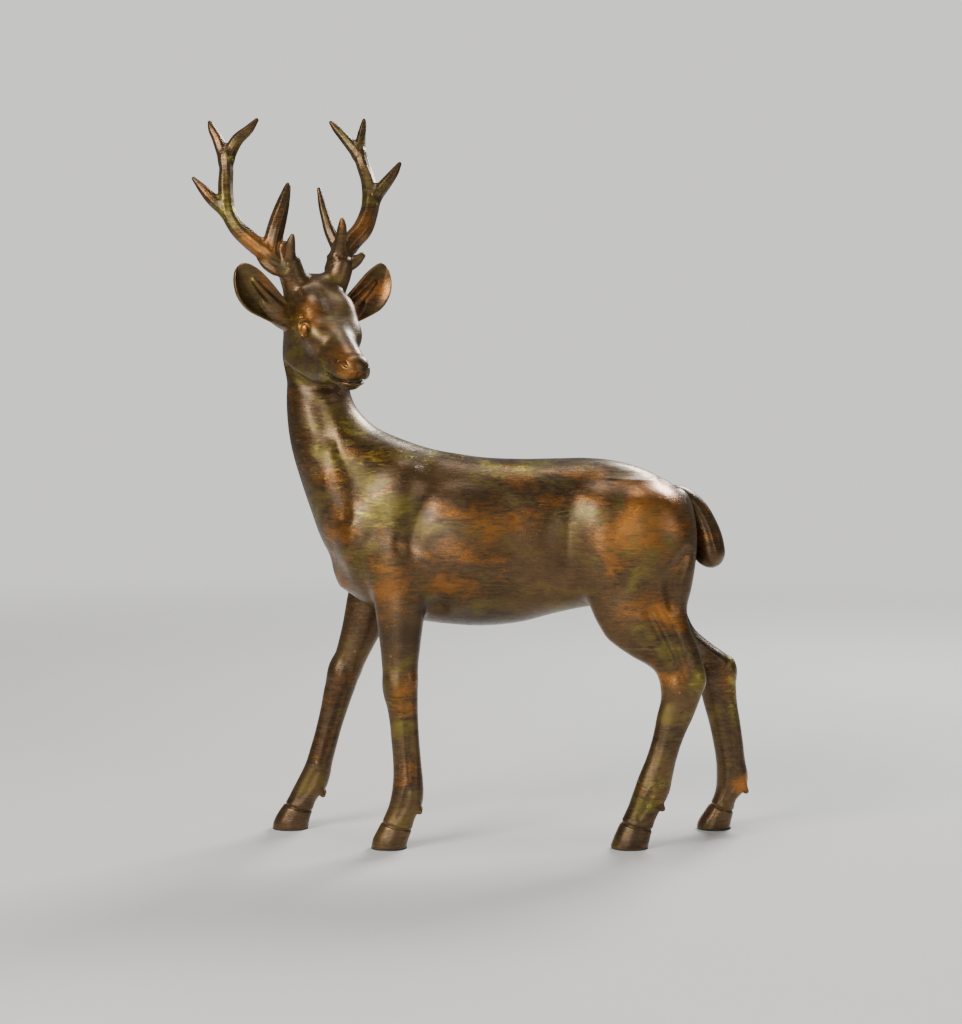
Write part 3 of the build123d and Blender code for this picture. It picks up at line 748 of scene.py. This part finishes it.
def ear_leaf(side):
    """The ear's leaf: a wall with a thick rim, its edges cupped forward."""
    rows = EARS[side]
    finer = np.linspace(0, len(rows) - 1, EAR_PARTS + 1)
    middle = smooth_rows([(i, *row) for i, row in enumerate(rows)], finer).T
    path = np.array([on_level(side * left, back, up) for left, back, up, _ in middle])
    widths = middle[:, 3] * np.sqrt(1 - np.linspace(0, 1, EAR_PARTS + 1) ** 9)
    along = unit(path[-1] - path[0])
    width_way = unit(np.cross(along, FORWARD))
    cup_way = np.cross(width_way, along)
    cup_way = cup_way * np.sign(cup_way @ FORWARD)
    reach = (path - path[0]) @ along
    bend = (path - path[0]) @ width_way
    lift = (path - path[0]) @ cup_way

    def distance(x, y, z):
        x, y, z = x - path[0][0], y - path[0][1], z - path[0][2]
        run = dot(x, y, z, along)
        wide = dot(x, y, z, width_way) - np.interp(run, reach, bend)
        deep = dot(x, y, z, cup_way) - np.interp(run, reach, lift)
        half = np.maximum(np.interp(run, reach, widths), 0.8)
        share = np.clip(np.abs(wide) / half, 0, 1.2)
        deep = deep - EAR_CUP * (half / rows[3][3]) * (share**2 - 0.5)
        beyond = np.maximum(reach[0] - run, run - reach[-1])
        outside = np.maximum((np.abs(wide) - half) * 0.8, beyond * 0.6)
        wall = np.abs(deep) - EAR_THICK - EAR_RIM * share**6
        return smooth_max(wall * 0.72, outside, 2.4)

    return path.min(axis=0) - 16, path.max(axis=0) + 16, distance


def ear_field(side):
    """One ear: its leaf, the round root it grows from and the ridge down its inside."""
    field = Field()
    field.add(ear_leaf(side))
    root = [(13, 6, -22, 7), (20.5, 5.4, -17.5, 7.4), (27, 5.4, -13, 6.2), (33, 5, -8, 3.4)]
    field.add(level_rope(side, root), 4)
    ridge = [(24, 0.6, -12, 1.8), (33, 0.6, -4.6, 2.3), (40, 0.4, 2, 1.8), (44.6, 0.6, 7.4, 0.8)]
    field.add(level_rope(side, ridge), 3.2)
    return field


def tail_field():
    """Plump tail that hangs against the rump."""
    field = Field()
    for x, y, z, radius in smooth_path(TAIL):
        field.add(ball((x, y, z), (radius, radius * 1.2, radius)), 3)
    field.add(rope(TAIL_INSIDE), 4)
    for side in (-1, 1):
        groove = [(149, side * 10, 232, 1), (158, side * 11.4, 217, 1.8), (163, side * 11, 200, 1)]
        field.cut(rope(groove), 4)
    return field


# ---- meshing
def mesh_field(name, field, low, high, step):
    """Closed surface of a field inside a box, as an object still in field millimetres."""
    step = step * COARSE
    values, corner = field.sample(low, high, step)
    values = np.clip(values, -3 * step, 3 * step).astype(np.float32)
    values = np.pad(values[1:-1, 1:-1, 1:-1], 1, constant_values=3 * step)
    grid = openvdb.FloatGrid(3 * step)
    grid.copyFromArray(values)
    points, quads = grid.convertToQuads(0.0)
    points = points * step + corner
    mesh = bpy.data.meshes.new(name)
    mesh.from_pydata(points.tolist(), [], quads.tolist())
    obj = bpy.data.objects.new(name, mesh)
    bpy.context.scene.collection.objects.link(obj)
    return obj


def cut_mesh(obj, cuts):
    """Cuts an object still in field millimetres, closes it, and marks the cuts' edges as seams."""
    work = bmesh.new()
    work.from_mesh(obj.data)
    seam = work.verts.layers.float.new("seam")
    for cut in cuts:
        cut_off(work, seam, *cut)
    keep_largest(work)
    bmesh.ops.recalc_face_normals(work, faces=work.faces)
    work.to_mesh(obj.data)
    work.free()


def cut_off(work, seam, point, away, wanted):
    """Drops what lies beyond a point in a direction, among the faces whose middle passes a test."""
    faces = [f for f in work.faces if wanted(f.calc_center_median())]
    edges = {e for f in faces for e in f.edges}
    verts = {v for f in faces for v in f.verts}
    bmesh.ops.bisect_plane(work, geom=[*verts, *edges, *faces], plane_co=point, plane_no=away, dist=1e-5)
    place, normal = Vector(point), Vector(away)
    dropped = []
    for face in work.faces:
        middle = face.calc_center_median()
        if wanted(middle) and (middle - place).dot(normal) > 1e-6:
            dropped.append(face)
    bmesh.ops.delete(work, geom=dropped, context="FACES")
    loose = [v for v in work.verts if not v.link_faces]
    bmesh.ops.delete(work, geom=loose, context="VERTS")
    bmesh.ops.dissolve_degenerate(work, edges=work.edges, dist=1e-3)
    rim = [e for e in work.edges if e.is_boundary]
    for edge in rim:
        edge.smooth = False
        for vert in edge.verts:
            vert[seam] = 1.0
    cap = bmesh.ops.holes_fill(work, edges=rim, sides=0)
    bmesh.ops.triangulate(work, faces=cap["faces"])


def keep_largest(work):
    """Drops every island of faces but the one with most vertices."""
    unseen = set(work.verts)
    islands = []
    while unseen:
        stack = [unseen.pop()]
        island = set(stack)
        while stack:
            for edge in stack.pop().link_edges:
                for vert in edge.verts:
                    if vert in unseen:
                        unseen.discard(vert)
                        island.add(vert)
                        stack.append(vert)
        islands.append(island)
    islands.sort(key=len)
    for island in islands[:-1]:
        bmesh.ops.delete(work, geom=list(island), context="VERTS")


def anywhere(_):
    return True


def settle(obj, node, material):
    """Moves a sculpted piece to the row frame, shades it and puts it in its CAD node's place."""
    mesh = obj.data
    points = vertex_places(mesh)
    paint(mesh, points)
    mesh.polygons.foreach_set("use_smooth", np.ones(len(mesh.polygons), dtype=bool))
    mesh.materials.append(material)
    write_places(mesh, (points + np.array(ORIGIN, dtype=np.float32)) / 1000)
    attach(obj, "root")
    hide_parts(node)


# ---- where the colours lie
# Each patch: x, z, radius along X, radius along Z, strength.
PATCHES = {
    "green_rub": [
        (-102, 270, 22, 34, 0.55), (-88, 280, 16, 12, 0.9), (-40, 262, 60, 10, 0.7), (-72, 225, 22, 26, 0.6),
        (10, 255, 40, 8, 0.6), (-104, 318, 12, 20, 0.6), (-78, 190, 16, 14, 0.5), (144, 114, 12, 12, 0.7),
        (175, 100, 8, 26, 0.8), (116, 40, 16, 14, 0.6), (-172, 440, 16, 40, 0.5), (-84, 460, 18, 30, 0.5),
        (60, 215, 26, 20, 0.35), (-55, 90, 8, 30, 0.4), (-125, 350, 14, 18, 0.6), (98, 252, 34, 7, 0.4),
    ],
    "rust_rub": [
        (112, 215, 30, 32, 1.0), (10, 215, 26, 18, 0.8), (-64, 170, 12, 26, 0.8), (-52, 108, 12, 18, 0.7),
        (-150, 402, 18, 12, 0.9), (-84, 415, 14, 14, 0.8), (-108, 352, 26, 16, 0.7), (-88, 326, 12, 14, 0.8),
        (-146, 380, 22, 14, 0.7), (-78, 383, 14, 14, 0.6), (124, 112, 20, 16, 0.7), (88, 205, 12, 40, 0.6),
        (182, 30, 8, 9, 0.9), (-96, 196, 14, 20, 0.6), (-30, 175, 40, 14, 0.5), (105, 160, 34, 20, 0.6),
    ],
    # Painted shade: dark in the mouth, in the nostrils, round the eye and under the belly.
    "painted_shade": [
        (-87, 312.8, 9, 1.7, 1.0), (-96.4, 315.6, 3.4, 1.7, 1.0), (-95, 326.5, 2.4, 2, 0.7),
        (-78, 325.5, 2.4, 2, 0.7), (-115.6, 346.6, 1.8, 4, 0.8), (-119, 352.6, 5, 1.3, 0.7),
        # Painted shade under the belly and behind the elbow.
        (-14, 143, 66, 13, 1.0), (-40, 160, 6, 12, 0.7),
    ],
}


def paint(mesh, points):
    """Stores how much green and rust is rubbed into each vertex, and how much painted shade lies there."""
    for name, patches in PATCHES.items():
        total = np.zeros(len(points), dtype=np.float32)
        for x, z, reach_x, reach_z, strength in patches:
            away = ((points[:, 0] - x) / reach_x) ** 2 + ((points[:, 2] - z) / reach_z) ** 2
            total = np.maximum(total, strength * np.exp(-away))
        layer = mesh.attributes.new(name, "FLOAT", "POINT")
        layer.data.foreach_set("value", total)


# ---- materials
class Nodes:
    """Short way to write a material's node tree."""

    def __init__(self, name):
        self.material = bpy.data.materials.new(name)
        self.material.use_nodes = True
        self.tree = self.material.node_tree
        self.shader = self.tree.nodes["Principled BSDF"]

    def node(self, kind, inputs=None, **settings):
        made = self.tree.nodes.new(kind)
        for key, value in settings.items():
            setattr(made, key, value)
        for key, value in (inputs or {}).items():
            self.put(made.inputs[key], value)
        return made

    def put(self, socket, value):
        if isinstance(value, bpy.types.NodeSocket):
            self.tree.links.new(value, socket)
        else:
            socket.default_value = value

    def math(self, operation, a, b=0.0):
        return self.node("ShaderNodeMath", {0: a, 1: b}, operation=operation).outputs[0]

    def remap(self, value, low, high, to_low=0.0, to_high=1.0):
        inputs = {"Value": value, "From Min": low, "From Max": high, "To Min": to_low, "To Max": to_high}
        return self.node("ShaderNodeMapRange", inputs, interpolation_type="SMOOTHSTEP").outputs[0]

    def noise(self, scale, detail, rough, stretch=(1, 1, 1), twist=0.0, place=0.0):
        start = self.node("ShaderNodeTexCoord").outputs["Object"]
        inputs = {"Vector": start, "Scale": stretch, "Location": (place, place, 0)}
        mapped = self.node("ShaderNodeMapping", inputs).outputs[0]
        inputs = {"Vector": mapped, "Scale": scale, "Detail": detail, "Roughness": rough}
        inputs["Distortion"] = twist
        return self.node("ShaderNodeTexNoise", inputs).outputs["Fac"]

    def mix(self, share, a, b):
        inputs = {"Factor": share, "A": a, "B": b}
        return self.node("ShaderNodeMix", inputs, data_type="RGBA").outputs["Result"]

    def lay(self, base, share, strength, colour):
        """The base with a colour laid over it, as thick as the share times the strength."""
        return self.mix(self.math("MULTIPLY", share, strength), base, colour)

    def blend(self, a, b, weight_a, weight_b):
        """Sum of two noises about zero, each times its weight."""
        a = self.math("MULTIPLY", self.math("SUBTRACT", a, 0.5), weight_a)
        b = self.math("MULTIPLY", self.math("SUBTRACT", b, 0.5), weight_b)
        return self.math("ADD", a, b)

    def attribute(self, name):
        return self.node("ShaderNodeAttribute", attribute_name=name).outputs["Fac"]

    def rubbed(self, name, amount, blend):
        """A painted attribute times an amount, broken up by a blend of noises."""
        return self.math("ADD", self.math("MULTIPLY", self.attribute(name), amount), blend)

    def set(self, name, value):
        self.put(self.shader.inputs[name], value)

    def bump(self, strength, distance, height):
        made = self.node("ShaderNodeBump", {"Strength": strength, "Distance": distance, "Height": height})
        self.set("Normal", made.outputs[0])


def bronze():
    """Brown bronze with green, gold and rust rubbed on, under short level strokes of dark glaze, with
    painted shade in the mouth, nostrils, round the eyes and under the belly.
    """
    n = Nodes("patinated_bronze")
    noise = {name: n.noise(*settings) for name, settings in NOISES.items()}
    fine, strokes = noise["fine"], noise["strokes"]
    cracks = crack_lines(n, noise)
    base = glaze_and_painted_shade(n, rubbed_colours(n, noise), noise)
    n.set("Base Color", n.lay(base, cracks, 0.75, CRACKED))
    n.set("Metallic", 0.7)
    n.set("Roughness", n.remap(n.blend(fine, noise["haze"], 1.0, 0.8), -0.25, 0.25, 0.24, 0.44))
    height = n.math("SUBTRACT", n.blend(fine, strokes, 0.6, 0.9), n.math("MULTIPLY", cracks, 0.6))
    n.bump(0.27, 0.0006, height)
    n.set("Coat Weight", 0.12)
    n.set("Coat Roughness", 0.22)
    return n.material


def rubbed_colours(n, noise):
    """Brown ground with olive, rust and gold rubbed over it, most of all where the patches lie."""
    cloud, haze, strokes = noise["cloud"], noise["haze"], noise["strokes"]
    base = n.mix(n.remap(n.blend(cloud, strokes, 1.1, 0.6), -0.3, 0.26), DARK, BROWN)
    olive = n.rubbed("green_rub", 0.3, n.blend(haze, strokes, 1.8, 0.5))
    base = n.lay(base, n.remap(olive, -0.02, 0.5), 0.7, OLIVE)
    rust = n.rubbed("rust_rub", 0.42, n.blend(cloud, haze, -1.2, -1.5))
    rust = n.math("ADD", rust, n.blend(strokes, noise["fine"], 0.5, 0.3))
    base = n.lay(base, n.remap(rust, 0.06, 0.62), 0.68, RUST)
    gold = n.rubbed("green_rub", 0.5, n.blend(noise["flakes"], cloud, 1.8, -0.8))
    return n.lay(base, n.remap(gold, 0.24, 0.7), 0.7, GOLD)


def glaze_and_painted_shade(n, base, noise):
    """The base under its glaze, which lies in strokes and hollows and is worn off the ridges, with painted
    shade in the mouth, nostrils, round the eyes and under the belly.
    """
    glaze = n.remap(n.blend(noise["fine"], noise["strokes"], 1.1, 0.5), 0.0, 0.22)
    base = n.lay(base, glaze, 0.5, DARK)
    whole = n.math("SUBTRACT", 1.0, n.attribute("seam"))
    bend = n.node("ShaderNodeNewGeometry").outputs["Pointiness"]
    wear = n.math("MULTIPLY", n.remap(bend, 0.515, 0.59), whole)
    base = n.lay(base, wear, 0.5, WORN)
    hollow = n.math("MULTIPLY", n.remap(bend, 0.44, 0.49, 1, 0), whole)
    base = n.lay(base, hollow, 0.6, DARK)
    # Painted shade: dark in the mouth, the nostrils, round the eyes and under the belly.
    return n.lay(base, n.attribute("painted_shade"), 0.85, DARK)


def crack_lines(n, noise):
    """Thin lines along the middle value of a noise, inside the flakes only."""
    rise = n.remap(noise["cracks"], 0.488, 0.5)
    fall = n.remap(noise["cracks"], 0.5, 0.512, 1, 0)
    return n.math("MULTIPLY", n.math("MULTIPLY", rise, fall), n.remap(noise["flakes"], 0.47, 0.6))


def plain_rod():
    """Drawn bronze of the hidden dowels and sleeves."""
    n = Nodes("bronze_rod")
    grain = n.noise(400, 4, 0.6, (1, 1, 0.05))
    n.set("Base Color", n.mix(grain, (0.42, 0.24, 0.10, 1), (0.6, 0.38, 0.18, 1)))
    n.set("Metallic", 1.0)
    n.set("Roughness", n.remap(grain, 0.3, 0.7, 0.25, 0.5))
    n.bump(0.3, 0.0002, grain)
    return n.material


def felt():
    """Black felt under the hooves."""
    n = Nodes("felt")
    fuzz = n.noise(1500, 4, 0.8)
    n.set("Base Color", n.mix(fuzz, (0.01, 0.01, 0.01, 1), (0.05, 0.05, 0.048, 1)))
    n.set("Roughness", 0.95)
    n.bump(0.6, 0.0004, fuzz)
    return n.material


# ---- pieces
def build_pieces(material):
    """Every sculpted casting, in its CAD node's place."""
    body = body_field()
    build_trunk_and_neck(body, material)
    head = mesh_field("head_skin", head_field(), (-150, -88, 293), (-62, 32, 402), 0.6)
    cut_mesh(head, [((0, 0, HEAD_JOINT), DOWN, anywhere)])
    settle(head, "head", material)
    for name in LEGS:
        build_leg(name, body, material)
    for side, label in ((1, "left"), (-1, "right")):
        build_antler(side, label, material)
        build_ear(side, label, material)
    tail = mesh_field("tail_skin", tail_field(), (120, -14, 178), (174, 14, 250), 0.6)
    settle(tail, "tail", material)


def build_trunk_and_neck(body, material):
    neck_up = (-sin(NECK_JOINT_TILT), 0, cos(NECK_JOINT_TILT))
    neck_down = (sin(NECK_JOINT_TILT), 0, -cos(NECK_JOINT_TILT))
    torso = mesh_field("torso_skin", body, (-140, -52, 126), (158, 52, 282), 1.15)
    cut_mesh(torso, [
        (NECK_JOINT_AT, neck_up, anywhere),
        ((0, 0, FORELEG_JOINT), DOWN, lambda c: c.x < LEGS_PART),
        ((0, 0, HINDLEG_JOINT), DOWN, lambda c: c.x >= LEGS_PART),
    ])
    settle(torso, "torso", material)
    neck = mesh_field("neck_skin", body, (-140, -44, 225), (-20, 44, 306), 0.9)
    cut_mesh(neck, [(NECK_JOINT_AT, neck_down, anywhere), ((0, 0, HEAD_JOINT), UP, anywhere)])
    settle(neck, "neck", material)


def build_leg(name, body, material):
    side, rows, joint, _ = LEGS[name]
    below = [row for row in rows if row[0] < joint + 20]
    sides = sorted((side * 13, side * 47))
    low = (min(row[1] for row in below) - 6, sides[0], -2)
    high = (max(row[2] for row in below) + 6, sides[1], joint + 4)
    leg = mesh_field(f"{name}_skin", body, low, high, 0.6)
    cut_mesh(leg, [((0, 0, joint), UP, anywhere)])
    settle(leg, name, material)


def build_antler(side, label, material):
    branches = ANTLERS[side]
    stations = np.array([s for path in branches.values() for s in path])
    low, high = stations[:, :3].min(axis=0) - 10, stations[:, :3].max(axis=0) + 8
    antler = mesh_field(f"antler_{label}_skin", antler_field(branches, 5 + side), low, high, 0.5)
    flute(antler, branches)
    settle(antler, f"antler_{label}", material)


def build_ear(side, label, material):
    middle = np.array([on_level(side * left, back, up) for left, back, up, _ in EARS[side]])
    low, high = middle.min(axis=0) - 16, middle.max(axis=0) + 16
    ear = mesh_field(f"ear_{label}_skin", ear_field(side), low, high, 0.5)
    settle(ear, f"ear_{label}", material)


def dress_nodes(metal, rod, cloth):
    """Materials of the CAD nodes that stay: dowels, sleeves, plug and pads."""
    dress = {"patinated_bronze": metal, "bronze_rod": rod, "felt": cloth}
    slots = {part["node"]: part["material_slot"] for part in frame["record"]["subparts"]}
    for node, obj in frame["nodes"].items():
        obj.data.materials.clear()
        obj.data.materials.append(dress[slots[node]])


# ---- set
def add_floor():
    """Pale round floor that fades out into the background."""
    bpy.ops.mesh.primitive_circle_add(vertices=96, radius=FLOOR_RADIUS, fill_type="NGON")
    floor = bpy.context.object
    floor.name = "floor"
    n = Nodes("floor")
    tone = n.noise(3, 3, 0.5)
    n.set("Base Color", n.mix(tone, (0.60, 0.59, 0.57, 1), (0.65, 0.64, 0.62, 1)))
    n.set("Roughness", 0.75)
    place = n.node("ShaderNodeTexCoord").outputs["Object"]
    away = n.node("ShaderNodeVectorMath", {0: place}, operation="LENGTH").outputs["Value"]
    n.set("Alpha", n.remap(away, *FLOOR_FADES, 1, 0))
    floor.data.materials.append(n.material)


def add_light(name, place, size, power, colour):
    """Rectangular light that points at the middle of the stag."""
    lamp = bpy.data.lights.new(name, "AREA")
    lamp.shape = "RECTANGLE"
    lamp.size, lamp.size_y = size
    lamp.energy = power
    lamp.color = colour
    obj = bpy.data.objects.new(name, lamp)
    obj.location = place
    obj.rotation_euler = (Vector(AIM) - Vector(place)).to_track_quat("-Z", "Y").to_euler()
    bpy.context.scene.collection.objects.link(obj)


def add_world():
    """Pale surroundings, brighter behind the stag than as light on it."""
    world = bpy.data.worlds.new("studio")
    world.use_nodes = True
    tree = world.node_tree
    background = tree.nodes["Background"]
    background.inputs[0].default_value = (0.8, 0.79, 0.77, 1)
    path = tree.nodes.new("ShaderNodeLightPath")
    strength = tree.nodes.new("ShaderNodeMapRange")
    strength.inputs["To Min"].default_value = WORLD_GLOW
    strength.inputs["To Max"].default_value = WORLD_SEEN
    tree.links.new(path.outputs["Is Camera Ray"], strength.inputs["Value"])
    tree.links.new(strength.outputs[0], background.inputs[1])
    bpy.context.scene.world = world


def add_camera():
    data = bpy.data.cameras.new("camera")
    data.sensor_width = 36
    data.lens = CAMERA_LENS
    data.shift_y = CAMERA_SHIFT
    camera = bpy.data.objects.new("camera", data)
    camera.location = CAMERA_AT
    camera.rotation_euler = (radians(90), 0, 0)
    bpy.context.scene.collection.objects.link(camera)
    bpy.context.scene.camera = camera


metal = bronze()
build_pieces(metal)
dress_nodes(metal, plain_rod(), felt())
add_floor()
for light, settings in LIGHTS.items():
    add_light(light, *settings)
add_world()
add_camera()
